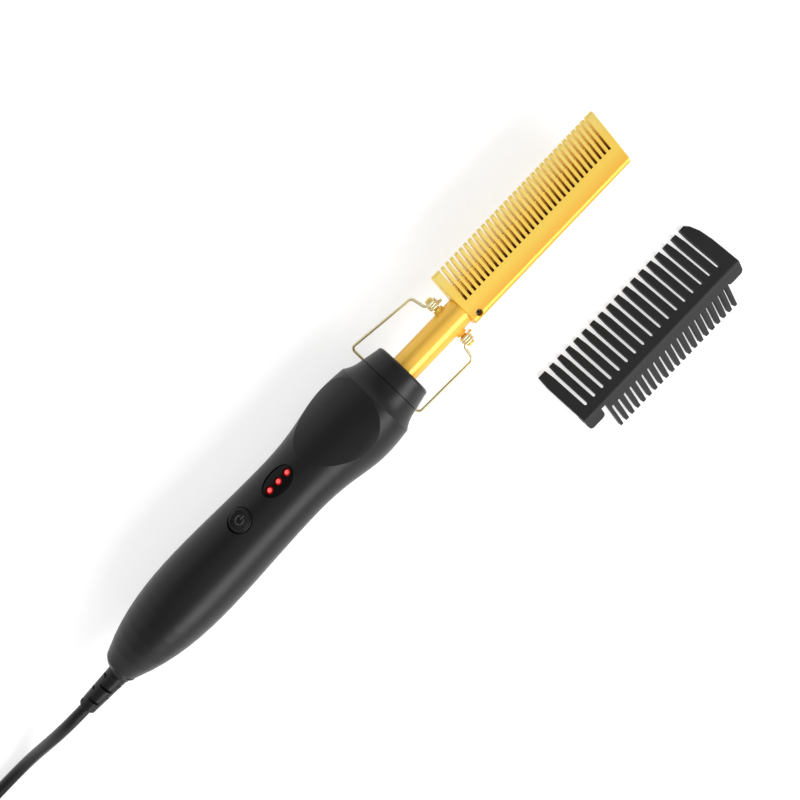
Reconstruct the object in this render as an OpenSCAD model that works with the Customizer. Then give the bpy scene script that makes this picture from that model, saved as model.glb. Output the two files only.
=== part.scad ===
// Electric hot comb with a hinged wire stand, a mains lead and a loose clip-on comb guard.
// The tool lies along X with its comb towards +X, teeth towards +Y, on a table at z = 0.

/* [Handle] */
// Length from the collar's front face to the end of the tail
handle_len = 166; // [158:1:176]
// Radius at the belly, the widest place
belly_r = 18.8; // [18.2:0.1:20]
// Radius at the waist, behind the thumb rest
waist_r = 14.8; // [14.4:0.1:15.6]
// Radius at the grip
grip_r = 16.1; // [15.6:0.1:17]
// Radius of the sharp shoulder in front of the thumb rest
shoulder_r = 18; // [17.4:0.1:18.6]
// Wall of the two shells
shell_wall = 2; // [1.6:0.1:2.4]
// Turn of the thumb rest, window and button towards the teeth, degrees
thumb_turn = 30; // [20:1:40]

/* [Collar] */
// Length of the collar, from its front face to the seam
collar_len = 8.8; // [7:0.2:10]
// Radius of the collar at the seam
collar_r = 14.7; // [14.4:0.1:15.4]
// Radius of the collar's front edge
collar_front_r = 12.9; // [12.4:0.1:13.6]

/* [Thumb rest] */
// Distance from the collar's front face to the rest's rear edge
rest_end = 51; // [49:0.5:53]
// Depth of the rest below the straight line between its ends
rest_sag = 2; // [1.2:0.1:2.6]
// Radius of the rest across the handle
rest_cross_r = 26; // [24:1:34]

/* [Window and lamps] */
// Distance from the collar's front face to the middle of the window
window_x = 65.4; // [64.5:0.1:66.5]
// Length of the oval window
window_len = 15.5; // [14.5:0.1:16]
// Width of the oval window
window_wid = 10; // [9:0.1:11]
// Radius of one lamp's dome
lamp_r = 1.5; // [1.2:0.1:1.7]
// Spacing of the three lamps
lamp_pitch = 4.8; // [4.4:0.1:5]

/* [Button] */
// Distance from the collar's front face to the button's axis
button_x = 86.4; // [85:0.2:90]
// Radius of the button's cap
button_r = 4.95; // [4.4:0.05:5.2]
// Gap between the cap and its hole
button_gap = 0.35; // [0.3:0.05:0.5]
// Travel of the button
button_travel = 0.5; // [0.3:0.1:0.6]

/* [Barrel] */
// Length of barrel that shows between collar and comb
barrel_out = 34.3; // [33:0.1:37]
// Outer radius of the barrel
barrel_r = 5.7; // [5.5:0.1:5.9]
// Wall of the barrel
barrel_wall = 1; // [0.8:0.1:1.2]

/* [Comb head] */
// Length of the comb head
head_len = 90.6; // [90:0.1:96]
// Radius of the thick rounded back
back_r = 6.2; // [6.1:0.1:6.6]
// Radius of the teeth's tips
tip_r = 1.2; // [0.9:0.1:1.4]
// Distance from the barrel's axis to the back of the head
back_out = 7.2; // [7.1:0.1:7.6]
// Distance from the barrel's axis to the tips
tip_out = 17.2; // [16:0.1:19]
// Distance from the barrel's axis to the roots of the slots
slot_root = 1.6; // [1.4:0.1:3]
// Width of one slot
slot_w = 1.05; // [0.9:0.05:1.3]
// Pitch of the slots
slot_pitch = 2.572; // [2.5:0.002:2.6]
// Number of slots
slots = 33; // [28:1:33]
// Place of the first slot from the head's rear face
slot_first = 3.05; // [2.8:0.05:3.4]

/* [Stand] */
// Distance from the collar's front face to the stand's pivot
pivot_x = 26.6; // [25:0.1:28]
// Radius of the stand's wire
wire_r = 0.65; // [0.55:0.05:0.75]
// Length of the stand from its pivot to its foot
stand_len = 39.5; // [38:0.5:42]
// Half width of the stand at its elbows
elbow_half = 17.7; // [16.5:0.1:19]
// Half width of the stand at its foot
foot_half = 20.2; // [19.5:0.1:22]
// Radius of the bends in the wire
bend_r = 2; // [1.5:0.1:3]
// Radius of the stud that the wire is coiled on
stud_r = 1.3; // [1.1:0.1:1.5]

/* [Strain relief and lead] */
// Length of the strain relief outside the handle
relief_len = 19; // [17:0.5:22]
// Radius of its first ring
relief_r = 4.7; // [4.5:0.1:5.2]
// Radius of its last ring
relief_end_r = 3.8; // [3.6:0.1:4.4]
// Radius of the mains lead
cord_r = 2.6; // [2.6:0.1:2.6]
// Distance of the lead from the handle's axis, away from the teeth
tail_shift = 1.5; // [0.5:0.1:1.8]

/* [Comb guard] */
// Length of the guard
guard_len = 95.9; // [95.5:0.1:102]
// Length of the long teeth's plate, from the bend
guard_long = 26.4; // [24:0.2:28]
// Length of the fine teeth's plate, from the bend
guard_fine = 18.3; // [17:0.1:21]
// Thickness of the long teeth's plate
guard_t = 2.2; // [1.8:0.1:2.3]
// Outer radius of the bend
guard_bend_r = 2.4; // [2.4:0.1:3]
// Slope of the long plate, degrees
guard_slope = 19; // [17:0.5:21]

/* [Plug] */
// Radius of a contact pin
pin_r = 2; // [2:0.1:2.4]
// Length of a contact pin outside the plug
pin_len = 19; // [17:0.5:21]
// Spacing of the two pins
pin_gap = 18.6; // [18:0.1:20]

/* [Hidden] */
$fn = 64;
eps = 0.01;
fit = 0.1;

// Where the tool lies: its axis height, and the offsets that centre the whole on the origin
axis_h = belly_r;
relief_x = -(handle_len + 2);
relief_tip = relief_x - relief_len;
head_x = barrel_out;
head_end = head_x + head_len;
guard_x = 37.95;
guard_y = -73.2;
bend_step = 0.05;
guard_z = guard_long*sin(guard_slope) - (guard_bend_r - guard_t - bend_step)*cos(guard_slope);
fine_t = 2;
fine_slope = asin((guard_z + (guard_bend_r - fine_t - bend_step)*cos(28))/guard_fine);
guard_low_y = guard_y - guard_fine*cos(fine_slope) - guard_bend_r*sin(fine_slope);
far_x = max(head_end, guard_x + guard_len);
tool_x = -(far_x + relief_tip)/2;
tool_y = -(guard_low_y + foot_half + wire_r)/2;

// Handle form: key stations [distance behind the collar's front, radius, slope]
handle_keys = [[shoulder_x(), shoulder_r, 0.12], [29, belly_r, 0],
    [47, belly_r*0.61 + waist_r*0.33, -0.17], [67, waist_r, 0], [117, grip_r, 0],
    [handle_len - 3, 8.4, -0.42]];
nose_keys = [[collar_len, collar_r + 0.1, 0.12], [shoulder_x(), shoulder_r, 0.75]];
steps = 8;
tail_end_r = 6.4;
neck_r = 5.1;
mouth_r = collar_r - shell_wall - 0.6;
rib_h = 0.7;
tail_plug = handle_len - 8;
relief_flange_r = 6;
relief_flange_t = 3;
relief_stem_r = 4;

// Inside the handle, heights along the button's axis
board_top = 6.8;
board_t = 1.6;
board_front = 48;
board_rear = 106;
board_half = 8.5;
board_holes = [[52, 0], [100, 0]];
switch_h = 3.2;
plunger_r = 1.75;
button_base = 10.8;
button_flange_t = 0.5;
button_flange_r = 5.9;
button_top = waist_r + 0.25;
lamp_top = waist_r - 0.5;
boss_r = 3;
shell_bosses = [[42, 9], [42, -9], [122, 8.5], [122, -8.5]];
screw_seat = -5.2;
clamp_x = handle_len - 18;
clamp_hole_y = 6.2;

// Head internals
tang_y = -2.35;
tang_r = 2.9;
tang_len = 10;
lead_hole_r = 1.8;
lead_r = 0.5;
lead_z = 0.95;
pocket_half_y = 2.55;
pocket_half_z = 2.35;
pocket_end = head_x + head_len - 7;
film_t = 0.3;
chip_half_z = 1.3;
electrode_t = 0.6;
heater_front = head_x + tang_len + 2.2;
screw_turn = 52;
screw_x = head_x + 2.7;
screw_r = 1.1;

// Stand: the rest angle puts its foot on the table
stand_drop = axis_h - wire_r - 0.01;
coil_in = stud_r + 0.1;
coil_r = coil_in + wire_r + 0.02;
stand_angle = asin(stand_drop/norm([stand_len, coil_r])) + atan2(coil_r, stand_len);
bend_lap = 0.1;
coil_pitch = 1.1;
coil_y = barrel_r + 3;
stud_head_y = coil_y + 2*coil_pitch + wire_r + 0.3;

// Lead: hand-laid route from the strain relief's tip, then a coil and a short tail
cord_floor = cord_r + 0.6 - axis_h;
cord_route = [[0, 0, 0], [-6, 0, 0], [-12, 0, -0.8], [-20, 0, -3.6], [-28, 0, -7.6],
    [-36, 0, -11.6], [-44, 0, -14.4], [-52, 0, cord_floor], [-62, 0, cord_floor],
    [-74, 0, cord_floor], [-88, 0, cord_floor], [-103, 0, cord_floor]];
coil_rings = [23.4, 39];
coil_layers = 2;
coil_at = [-103, -39];
tie_t = 0.6;
tail_route = [[-122.5, -72.8, 8.4], [-115, -77.1, 8.4], [-107, -81.7, 7.4], [-99, -86.4, 5.4],
    [-91, -90.8, 3.9], [-82, -94.6, 3.4], [-73, -96.6, 4.6], [-66, -97, 6.5], [-62, -97, 7], [-60, -97, 7]];
plug_at = [-60, -97, 7];
plug_len = 36;
plug_h = 14;
pin_sleeve_r = pin_r - 0.16;
plug_w = 35.3;

function shoulder_x() = collar_len + 8.2;
function cat(a, b) = concat(a, b);
// Smooth curve between two stations: value at fraction t
function hermite(a, b, t) = a[1]*(1 - 3*t*t + 2*t*t*t) + b[1]*(3*t*t - 2*t*t*t)
    + (b[0] - a[0])*(a[2]*(t - 2*t*t + t*t*t) + b[2]*(t*t*t - t*t));
// Points [radius, x] along a list of stations, inset by d
function curve(keys, d) = [for (i = [0:len(keys) - 2]) for (j = [0:steps - 1])
    let (a = keys[i], b = keys[i + 1], t = j/steps)
    [hermite(a, b, t) - d, -(a[0] + t*(b[0] - a[0]))]];
function arc(cx, cy, r, a0, a1, n) = [for (i = [0:n])
    let (a = a0 + (a1 - a0)*i/n) [cx + r*cos(a), cy + r*sin(a)]];
function unit(v) = v/norm(v);
// Closed outline from its upper half
function both_sides(half) = cat(half, [for (i = [len(half) - 1:-1:0]) [half[i][0], -half[i][1]]]);

// ---- Helpers -------------------------------------------------------------
module tool() { translate([tool_x, tool_y, axis_h]) children(); }
// Frame of the thumb rest, window and button: its Z leaves through the button
module turned() { tool() rotate([-thumb_turn, 0, 0]) children(); }
// The same frame, shifted on to the lead's axis
module tail() { tool() translate([0, -tail_shift, 0]) rotate([-thumb_turn, 0, 0]) children(); }
// Turns an outline of [radius, x] points about the X axis
module revolve(points) { rotate([0, 90, 0]) rotate_extrude($fn = 96) polygon(points); }
module rod(x0, x1, r) { translate([x0, 0, 0]) rotate([0, 90, 0]) cylinder(r = r, h = x1 - x0); }
module pipe(x0, x1, r0, r1) {
    difference() {
        rod(x0, x1, r0);
        rod(x0 - 1, x1 + 1, r1);
    }
}
// Straight round wire between two points
module wire(a, b, r) {
    d = b - a;
    translate(a) rotate([0, acos(d[2]/norm(d)), atan2(d[1], d[0])]) cylinder(r = r, h = norm(d), $fn = 24);
}
// Screw along Z: head seat at z = 0, shank upwards
module screw(head_r, head_h, shank_r, shank_len) {
    difference() {
        translate([0, 0, -head_h]) cylinder(r = head_r, h = head_h);
        translate([0, 0, -head_h - 0.1]) cross_slot(head_r*1.2, head_h*0.5);
    }
    cylinder(r = shank_r, h = shank_len);
}
module cross_slot(size, depth) {
    for (a = [0, 90]) rotate([0, 0, a])
        translate([-size/2, -size/8, 0]) cube([size, size/4, depth]);
}
module oval(len, wid, h) {
    linear_extrude(h) polygon([for (a = [0:7.5:352.5]) [len/2*cos(a), wid/2*sin(a)]]);
}

// ---- Handle --------------------------------------------------------------
// Solid form of the handle, inset by d: the turned body less the thumb rest
module handle_form(d) {
    x0 = -(d == 0 ? collar_len : shoulder_x());
    body = d == 0 ? cat(curve(nose_keys, 0), curve(handle_keys, 0)) : curve(handle_keys, d);
    end_x = d == 0 ? handle_len : tail_plug;
    end_r = d == 0 ? tail_end_r : body[len(body) - 1][0] - 0.6;
    difference() {
        revolve(cat([[0, x0]], cat(body, [[end_r + (d == 0 ? 1.5 : 0), -end_x + (d == 0 ? 1.6 : 0)],
            [end_r, -end_x], [0, -end_x]])));
        thumb_rest(d);
    }
}
// Cutter of the thumb rest: a large spool lying across the handle
module thumb_rest(d) {
    x0 = shoulder_x() + 0.5;
    z0 = shoulder_r - 0.2;
    z1 = waist_r + 0.4;
    chord = norm([rest_end - x0, z0 - z1]);
    big_r = chord*chord/(8*rest_sag) + rest_sag/2;
    tilt = atan2(z0 - z1, rest_end - x0);
    translate([-(x0 + rest_end)/2, 0, (z0 + z1)/2]) rotate([0, -tilt, 0])
        translate([0, 0, big_r - rest_sag]) rotate([90, 0, 0])
        rotate_extrude($fn = 128) difference() {
            translate([0, -21]) square([big_r + rest_cross_r, 42]);
            translate([big_r + d + rest_cross_r - d, 0]) circle(r = rest_cross_r - d);
        }
}
module mouth() {
    difference() {
        rod(-(shoulder_x() + 1), -collar_len + 1, mouth_r);
        pipe(-(collar_len + 5.1), -(collar_len + 3.8), mouth_r + 1, mouth_r - rib_h);
    }
}
module tail_neck() {
    end = handle_len + 2;
    revolve([[0, -handle_len + 3], [6.2, -handle_len + 1], [6.2, -handle_len], [neck_r + 0.5, -handle_len - 0.5],
        [neck_r + 0.1, -handle_len - 1.2], [neck_r, -end], [0, -end]]);
}
module tail_bore() {
    rod(-(tail_plug + 5), -(tail_plug - 2), relief_flange_r + fit);
    rod(-(handle_len + 3), -tail_plug, relief_stem_r + fit);
}
module handle_blank() {
    difference() {
        union() {
            turned() handle_form(0);
            tail() tail_neck();
        }
        turned() handle_form(shell_wall);
        turned() mouth();
        tail() tail_bore();
    }
}
// Keeps what stands inside the form, so that bosses end in the wall
module inside_form() {
    intersection() {
        turned() handle_form(shell_wall*0.45);
        children();
    }
}
module half_space(up) { turned() translate([-200, -40, up ? 0 : -60]) cube([200, 80, 60]); }
module posts(spots, r, z0, h) {
    for (p = spots) translate([-p[0], p[1], z0]) cylinder(r = r, h = h);
}
module handle_upper_shell() {
    color([0.12, 0.12, 0.12]) difference() {
        union() {
            intersection() { handle_blank(); half_space(true); }
            inside_form() turned() {
                posts(shell_bosses, boss_r, 0, 30);
                posts(board_holes, 2.5, board_top, 30);
            }
        }
        turned() {
            posts(shell_bosses, 1, -1, 8);
            posts(board_holes, 0.9, board_top - 1, 6);
            translate([-window_x, 0, 8]) oval(window_len, window_wid, 20);
            translate([-button_x, 0, 8]) cylinder(r = button_r + button_gap, h = 20);
        }
    }
}
module handle_lower_shell() {
    color([0.12, 0.12, 0.12]) difference() {
        union() {
            intersection() { handle_blank(); half_space(false); }
            inside_form() turned() posts(shell_bosses, boss_r + 0.6, -30, 30);
            inside_form() tail() posts([[clamp_x, clamp_hole_y], [clamp_x, -clamp_hole_y]], 2, -30, 31.8);
        }
        turned() {
            posts(shell_bosses, 1.3, -30, 31);
            posts(shell_bosses, 2.5, -40, 40 + screw_seat);
        }
        tail() posts([[clamp_x, clamp_hole_y], [clamp_x, -clamp_hole_y]], 0.9, -3.5, 8);
    }
}
module shell_screws() {
    color([0.5, 0.5, 0.5]) turned() for (p = shell_bosses)
        translate([-p[0], p[1], screw_seat]) screw(2.2, 1.6, 1, 11);
}

// ---- Collar and barrel ---------------------------------------------------
module collar_ring() {
    spigot = collar_len + 7.2;
    color([0.11, 0.11, 0.11]) tool() difference() {
        revolve(cat([[0, -spigot], [mouth_r - fit, -spigot], [mouth_r - fit, -collar_len - 5.2],
            [mouth_r - rib_h - fit, -collar_len - 5.2], [mouth_r - rib_h - fit, -collar_len - 3.7],
            [mouth_r - fit, -collar_len - 3.7], [mouth_r - fit, -collar_len], [collar_r - 0.3, -collar_len],
            [collar_r, -collar_len + 0.3], [collar_front_r + 0.4, -2]],
            cat(arc(collar_front_r - 1.1, -1.5, 1.5, 0, 90, 6), [[0, 0]])));
        rod(-3.2, 1, barrel_r + 0.5);
        rod(-spigot - 1, -3, 10);
    }
}
module barrel_bushing() {
    color([0.85, 0.82, 0.75]) tool() pipe(-collar_len - 7.2, -3, 10 - fit, barrel_r + 0.05);
}
module barrel_flange() {
    color([0.6, 0.6, 0.6]) tool() pipe(-collar_len - 9.2, -collar_len - 7.2, 11.2, barrel_r + 0.05);
}
module barrel_tube() {
    color([0.93, 0.72, 0.2]) tool() difference() {
        pipe(-26, barrel_out, barrel_r, barrel_r - barrel_wall);
        for (s = [-1, 1]) translate([pivot_x, 0, 0]) rotate([-90*s, 0, 0]) cylinder(r = stud_r + 0.05, h = 10);
    }
}

// ---- Comb head -----------------------------------------------------------
function head_outline() = let (c0 = back_r - back_out, c1 = tip_out - tip_r,
    a = 90 - asin((back_r - tip_r)/(c1 - c0)))
    cat(arc(c1, 0, tip_r, -a, a, 8), arc(c0, 0, back_r, a, 360 - a, 24));
module head_blank() {
    translate([head_x, 0, 0]) rotate([90, 0, 90]) linear_extrude(head_len) polygon(head_outline());
}
module screw_way(t0, t1, r) {
    translate([screw_x, tang_y, 0]) rotate([90 - screw_turn, 0, 0])
        translate([0, 0, t0]) cylinder(r = r, h = t1 - t0, $fn = 32);
}
module comb_head() {
    color([0.96, 0.76, 0.22]) tool() difference() {
        head_blank();
        for (i = [0:slots - 1])
            translate([head_x + slot_first + i*slot_pitch - slot_w/2, slot_root, -10]) cube([slot_w, 30, 20]);
        translate([0, tang_y, 0]) rod(head_x - 1, head_x + tang_len + 0.5, tang_r + fit);
        translate([head_x + tang_len, tang_y - pocket_half_y, -pocket_half_z])
            cube([pocket_end - head_x - tang_len, 2*pocket_half_y, 2*pocket_half_z]);
        screw_way(2, 9, screw_r + 0.05);
    }
}
module head_adapter() {
    color([0.8, 0.65, 0.3]) tool() difference() {
        union() {
            rod(head_x - 6, head_x, barrel_r - barrel_wall - 0.05);
            translate([0, tang_y, 0]) rod(head_x, head_x + tang_len, tang_r);
        }
        translate([0, tang_y, 0]) rod(head_x - 11, head_x + tang_len + 1, lead_hole_r);
        screw_way(1, 9, screw_r + 0.05);
    }
}
module head_screw() {
    color([0.2, 0.18, 0.15]) tool() difference() {
        screw_way(2.3, 4.5, screw_r);
        screw_way(3.6, 4.6, 0.5);
    }
}
module heater_block(x0, x1, half_y, z0, z1) {
    translate([x0, tang_y - half_y, z0]) cube([x1 - x0, 2*half_y, z1 - z0]);
}
module heater_film() {
    x1 = pocket_end - 0.5;
    hy = pocket_half_y - 0.05;
    hz = pocket_half_z - 0.05;
    color([0.75, 0.45, 0.15]) tool() difference() {
        heater_block(heater_front, x1, hy, -hz, hz);
        heater_block(heater_front - 1, x1 + 1, hy - film_t, film_t - hz, hz - film_t);
    }
}
module heater_electrodes() {
    color([0.75, 0.75, 0.75]) tool() for (s = [0, 1]) mirror([0, 0, s]) {
        heater_block(heater_front - 0.5, pocket_end - 2, 2.1, chip_half_z, chip_half_z + electrode_t);
        heater_block(heater_front - 0.5, heater_front + 1.5, 0.8, lead_z - lead_r, chip_half_z);
    }
}
module ptc_chips() {
    chip = (pocket_end - 3 - (heater_front + 2))/3;
    color([0.25, 0.25, 0.28]) tool() for (i = [0:2])
        heater_block(heater_front + 2 + i*chip, heater_front + 1.5 + (i + 1)*chip, 2, -chip_half_z, chip_half_z);
}
function board_pad(y) = [y*cos(thumb_turn) + (board_top - board_t/2)*sin(thumb_turn),
    -y*sin(thumb_turn) + (board_top - board_t/2)*cos(thumb_turn)];
fuse_z = 2;
fuse_front = -30;
fuse_rear = -40;
module heater_leads() {
    front = heater_front - 0.5;
    color([0.9, 0.9, 0.88]) tool() {
        wire([front, tang_y, lead_z], [fuse_front, tang_y, fuse_z], lead_r);
        wire([front, tang_y, -lead_z], [-28.6, tang_y, -lead_z], lead_r);
        crimp(-29.4, tang_y, -lead_z);
        wire([-28.6, tang_y, -lead_z], [0.3 - board_front, board_pad(2)[0], board_pad(2)[1]], lead_r);
        wire([fuse_rear, tang_y, fuse_z], [fuse_rear - 2, tang_y, fuse_z], lead_r);
        crimp(fuse_rear - 3.4, tang_y, fuse_z);
        wire([fuse_rear - 2.4, tang_y, fuse_z], [0.3 - board_front, board_pad(-2)[0], board_pad(-2)[1]], lead_r);
    }
}
module crimp(x, y, z) { translate([0, y, z]) rod(x, x + 2.4, lead_r + 0.4); }
module thermal_fuse() {
    color([0.8, 0.75, 0.6]) tool() translate([0, tang_y, fuse_z]) rod(fuse_rear, fuse_front, 1.7);
}

// ---- Stand ---------------------------------------------------------------
module stand_studs() {
    color([0.95, 0.8, 0.35]) tool() for (s = [0, 1]) mirror([0, s, 0])
        translate([pivot_x, 0, 0]) rotate([-90, 0, 0]) {
            translate([0, 0, barrel_r - barrel_wall - 0.3]) cylinder(r = stud_r, h = stud_head_y - barrel_r + 1.8);
            translate([0, 0, barrel_r - 0.15]) stud_foot();
            translate([0, 0, stud_head_y]) cylinder(r1 = 1.8, r2 = 1.4, h = 0.9);
        }
}
// Foot of a stud, hollowed to sit on the round barrel
module stud_foot() {
    difference() {
        translate([0, 0, -0.4]) cylinder(r = 2.3, h = 2);
        translate([-5, 0, -barrel_r + 0.15]) rotate([0, 90, 0]) cylinder(r = barrel_r + 0.02, h = 10);
    }
}
// Quarter-like bend of wire: ring sector from angle 0 to a, centre at the bend's middle
module wire_bend(a) {
    rotate_extrude(angle = a) translate([bend_r, 0]) circle(r = wire_r + 0.01, $fn = 24);
}
// Flat wire through [s, t] points with round bends, in the XY plane
module wire_path(points) {
    n = len(points);
    for (i = [0:n - 2]) {
        a = points[i];
        b = points[i + 1];
        d = unit(b - a);
        cut_a = i == 0 ? 0 : bend_cut(points[i - 1], a, b) - bend_lap;
        cut_b = i == n - 2 ? 0 : bend_cut(a, b, points[i + 2]) - bend_lap;
        p = a + d*cut_a;
        translate([p[0], p[1], 0]) rotate([0, 0, atan2(d[1], d[0])])
            rod(0, norm(b - a) - cut_a - cut_b, wire_r, $fn = 24);
    }
    for (i = [1:1:n - 2]) corner_bend(points[i - 1], points[i], points[i + 1]);
}
function turn_of(a, b, c) = let (d = unit(b - a), e = unit(c - b))
    atan2(d[0]*e[1] - d[1]*e[0], d[0]*e[0] + d[1]*e[1]);
function bend_cut(a, b, c) = bend_r*tan(abs(turn_of(a, b, c))/2);
module corner_bend(a, b, c) {
    turn = turn_of(a, b, c);
    side = turn > 0 ? 1 : -1;
    d = unit(b - a);
    p = b - d*bend_cut(a, b, c);
    centre = p + side*bend_r*[-d[1], d[0]];
    start = atan2(p[1] - centre[1], p[0] - centre[0]);
    translate([centre[0], centre[1], 0]) rotate([0, 0, turn > 0 ? start : start + turn]) wire_bend(abs(turn));
}
function half_path() = [[-0.15, coil_y + 2*coil_pitch], [2.2, coil_y + 2*coil_pitch], [3.7, elbow_half],
    [stand_len, foot_half], [stand_len, -0.1]];
module stand_bail() {
    // Drawn with the arms along +X from the pivot, then turned back and down to the table
    color([0.85, 0.8, 0.62]) tool() translate([pivot_x, 0, 0]) rotate([0, 180 - stand_angle, 0])
        for (s = [0, 1]) mirror([0, s, 0]) {
            translate([0, 0, -coil_r]) wire_path(half_path());
            rotate([-90, 0, 0]) rotate_extrude() for (i = [0:2])
                translate([coil_r, coil_y + i*coil_pitch]) circle(r = wire_r + 0.02, $fn = 24);
            translate([-3.4, coil_y, coil_r]) rod(0, 3.55, wire_r, $fn = 24);
        }
}

// ---- Electronics ---------------------------------------------------------
module circuit_board() {
    color([0.1, 0.35, 0.15]) turned() difference() {
        translate([-board_rear, -board_half, board_top - board_t])
            cube([board_rear - board_front, 2*board_half, board_t]);
        posts(board_holes, 1.1, board_top - board_t - 1, board_t + 2);
    }
}
module board_screws() {
    color([0.7, 0.7, 0.7]) turned() for (p = board_holes)
        translate([-p[0], p[1], board_top - board_t]) screw(1.8, 1.1, 0.85, 5.6);
}
module tact_switch() {
    color([0.15, 0.15, 0.15]) turned() difference() {
        translate([-button_x - 3, -3, board_top]) cube([6, 6, switch_h]);
        posts([[button_x, 0]], plunger_r + 0.1, board_top + 1.6, 6);
    }
}
module switch_plunger() {
    color([0.2, 0.2, 0.2]) turned() posts([[button_x, 0]], plunger_r, board_top + 2.3, button_base - board_top - 2.3);
}
module power_button() {
    h = button_top - button_base;
    color([0.08, 0.08, 0.08]) turned() translate([-button_x, 0, button_base]) rotate_extrude()
        polygon(cat([[0, 0], [button_flange_r, 0], [button_flange_r, button_flange_t], [button_r, button_flange_t]],
            cat(arc(button_r - 0.5, h - 0.5, 0.5, 0, 90, 5), [[button_r - 1.4, h - 0.15], [0, h - 0.35]])));
}
module led_window() {
    color([0.03, 0.03, 0.03]) turned() difference() {
        union() {
            intersection() {
                handle_form(0.5);
                translate([-window_x, 0, 6]) oval(window_len - 2*fit, window_wid - 2*fit, 20);
            }
            intersection() {
                handle_form(shell_wall + 0.05);
                translate([-window_x, 0, 6]) oval(window_len + 1.6, window_wid + 1.6, 20);
            }
        }
        handle_form(shell_wall + 1.1);
        posts([for (i = [-1:1]) [window_x + i*lamp_pitch, 0]], lamp_r + 0.15, 0, 20);
    }
}
module status_leds() {
    color([0.9, 0.1, 0.1]) turned() for (i = [-1:1]) translate([-(window_x + i*lamp_pitch), 0, board_top]) {
        cylinder(r = lamp_r + 0.3, h = 1);
        cylinder(r = lamp_r, h = lamp_top - lamp_r - board_top);
        translate([0, 0, lamp_top - lamp_r - board_top]) sphere(r = lamp_r);
    }
}

// ---- Tail ----------------------------------------------------------------
relief_pitch = 7;
relief_notch = 1.2;
module strain_relief() {
    tip = -relief_tip;
    x0 = -relief_x;
    color([0.07, 0.07, 0.07]) tail() difference() {
        revolve([[0, -tip], [relief_end_r - 0.4, -tip], [relief_end_r, -tip + 0.4], [relief_r, -x0 - 0.4],
            [relief_r - 0.3, -x0], [relief_stem_r, -x0], [relief_stem_r, -tail_plug - relief_flange_t - 1.9],
            [relief_flange_r, -tail_plug - relief_flange_t - 1.9], [relief_flange_r, -tail_plug - 1.9],
            [0, -tail_plug - 1.9]]);
        rod(-tip - 1, -tail_plug, cord_r + 0.05);
        for (i = [0:1:2]) side_notches(x0 + 3.3 + i*relief_pitch, 0);
        for (i = [0:1:1]) side_notches(x0 + 3.3 + (i + 0.5)*relief_pitch, 90);
    }
}
module side_notches(x, turn) {
    rotate([thumb_turn + turn, 0, 0]) for (s = [0, 1]) mirror([0, s, 0])
        translate([-x - relief_notch/2, cord_r + 0.6, -5]) cube([relief_notch, 5, 10]);
}
module mains_leads() {
    sheath_end = handle_len - 24;
    pad = board_top - board_t/2 + tail_shift*sin(thumb_turn);
    shift = tail_shift*cos(thumb_turn);
    color([0.06, 0.06, 0.06]) tail() {
        rod(relief_tip, -sheath_end, cord_r);
        for (s = [-1, 1])
            wire([-sheath_end - 2, s*1.1, 0], [-board_rear - 0.2, shift + s*3, pad], 0.8);
    }
}
module cord_clamp() {
    color([0.3, 0.3, 0.3]) tail() difference() {
        translate([-clamp_x - 2.5, -8.2, 1.8]) cube([5, 16.4, 2.8]);
        rod(-clamp_x - 4, -clamp_x + 4, cord_r + 0.05);
        posts([[clamp_x, clamp_hole_y], [clamp_x, -clamp_hole_y]], 1.05, 0, 6);
    }
}
module clamp_screws() {
    color([0.7, 0.7, 0.7]) tail() for (s = [-1, 1])
        translate([-clamp_x, s*clamp_hole_y, 4.6]) rotate([180, 0, 0]) screw(1.7, 1, 0.85, 7);
}

// ---- Mains lead ----------------------------------------------------------
sides = 8;
// Tube swept through hand-laid points, one ring at each
module tube(points) {
    n = len(points);
    rings = [for (i = [0:n - 1])
        let (a = points[max(i - 1, 0)], b = points[min(i + 1, n - 1)], t = unit(b - a),
            side = unit(cross(t, [0, 0, 1])), up = cross(side, t))
        for (k = [0:sides - 1]) points[i] + cord_r*(side*cos(360*k/sides) + up*sin(360*k/sides))];
    walls = [for (i = [0:n - 2]) for (k = [0:sides - 1])
        [i*sides + k, i*sides + (k + 1)%sides, (i + 1)*sides + (k + 1)%sides, (i + 1)*sides + k]];
    ends = [[for (k = [sides - 1:-1:0]) k], [for (k = [0:sides - 1]) (n - 1)*sides + k]];
    polyhedron(rings, cat(walls, ends), convexity = 4);
}
module lead_frame() { translate([tool_x + relief_tip, tool_y - tail_shift, axis_h]) children(); }
module lead_floor() { translate([tool_x + relief_tip, tool_y - tail_shift, 0]) children(); }
module power_cord() {
    color([0.06, 0.06, 0.06]) {
        lead_frame() tube(cord_route);
        lead_floor() tube(tail_route);
    }
}
module coil_ring(r0, r1, z0, z1) {
    lead_floor() translate([coil_at[0], coil_at[1], 0]) rotate_extrude($fn = 96) polygon([[r0 + 1, z0],
        [r1 - 1, z0], [r1, z0 + 1], [r1, z1 - 1], [r1 - 1, z1], [r0 + 1, z1], [r0, z1 - 1], [r0, z0 + 1]]);
}
coil_in_r = coil_rings[0] - cord_r;
coil_out_r = coil_rings[1] + cord_r;
coil_top = tie_t + 2*coil_layers*cord_r;
module cord_coil() {
    color([0.06, 0.06, 0.06]) coil_ring(coil_in_r, coil_out_r, tie_t, coil_top);
}
module cord_tie() {
    color([0.1, 0.1, 0.1]) lead_floor() translate([coil_at[0], coil_at[1], 0]) difference() {
        translate([-coil_out_r - tie_t, -3, 0]) cube([coil_out_r - coil_in_r + 2*tie_t + 0.25, 6, coil_top + tie_t]);
        translate([-coil_out_r, -4, tie_t]) cube([coil_out_r - coil_in_r + 0.25, 8, coil_top - tie_t]);
    }
}
module plug_frame() { lead_floor() translate(plug_at) children(); }
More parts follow.
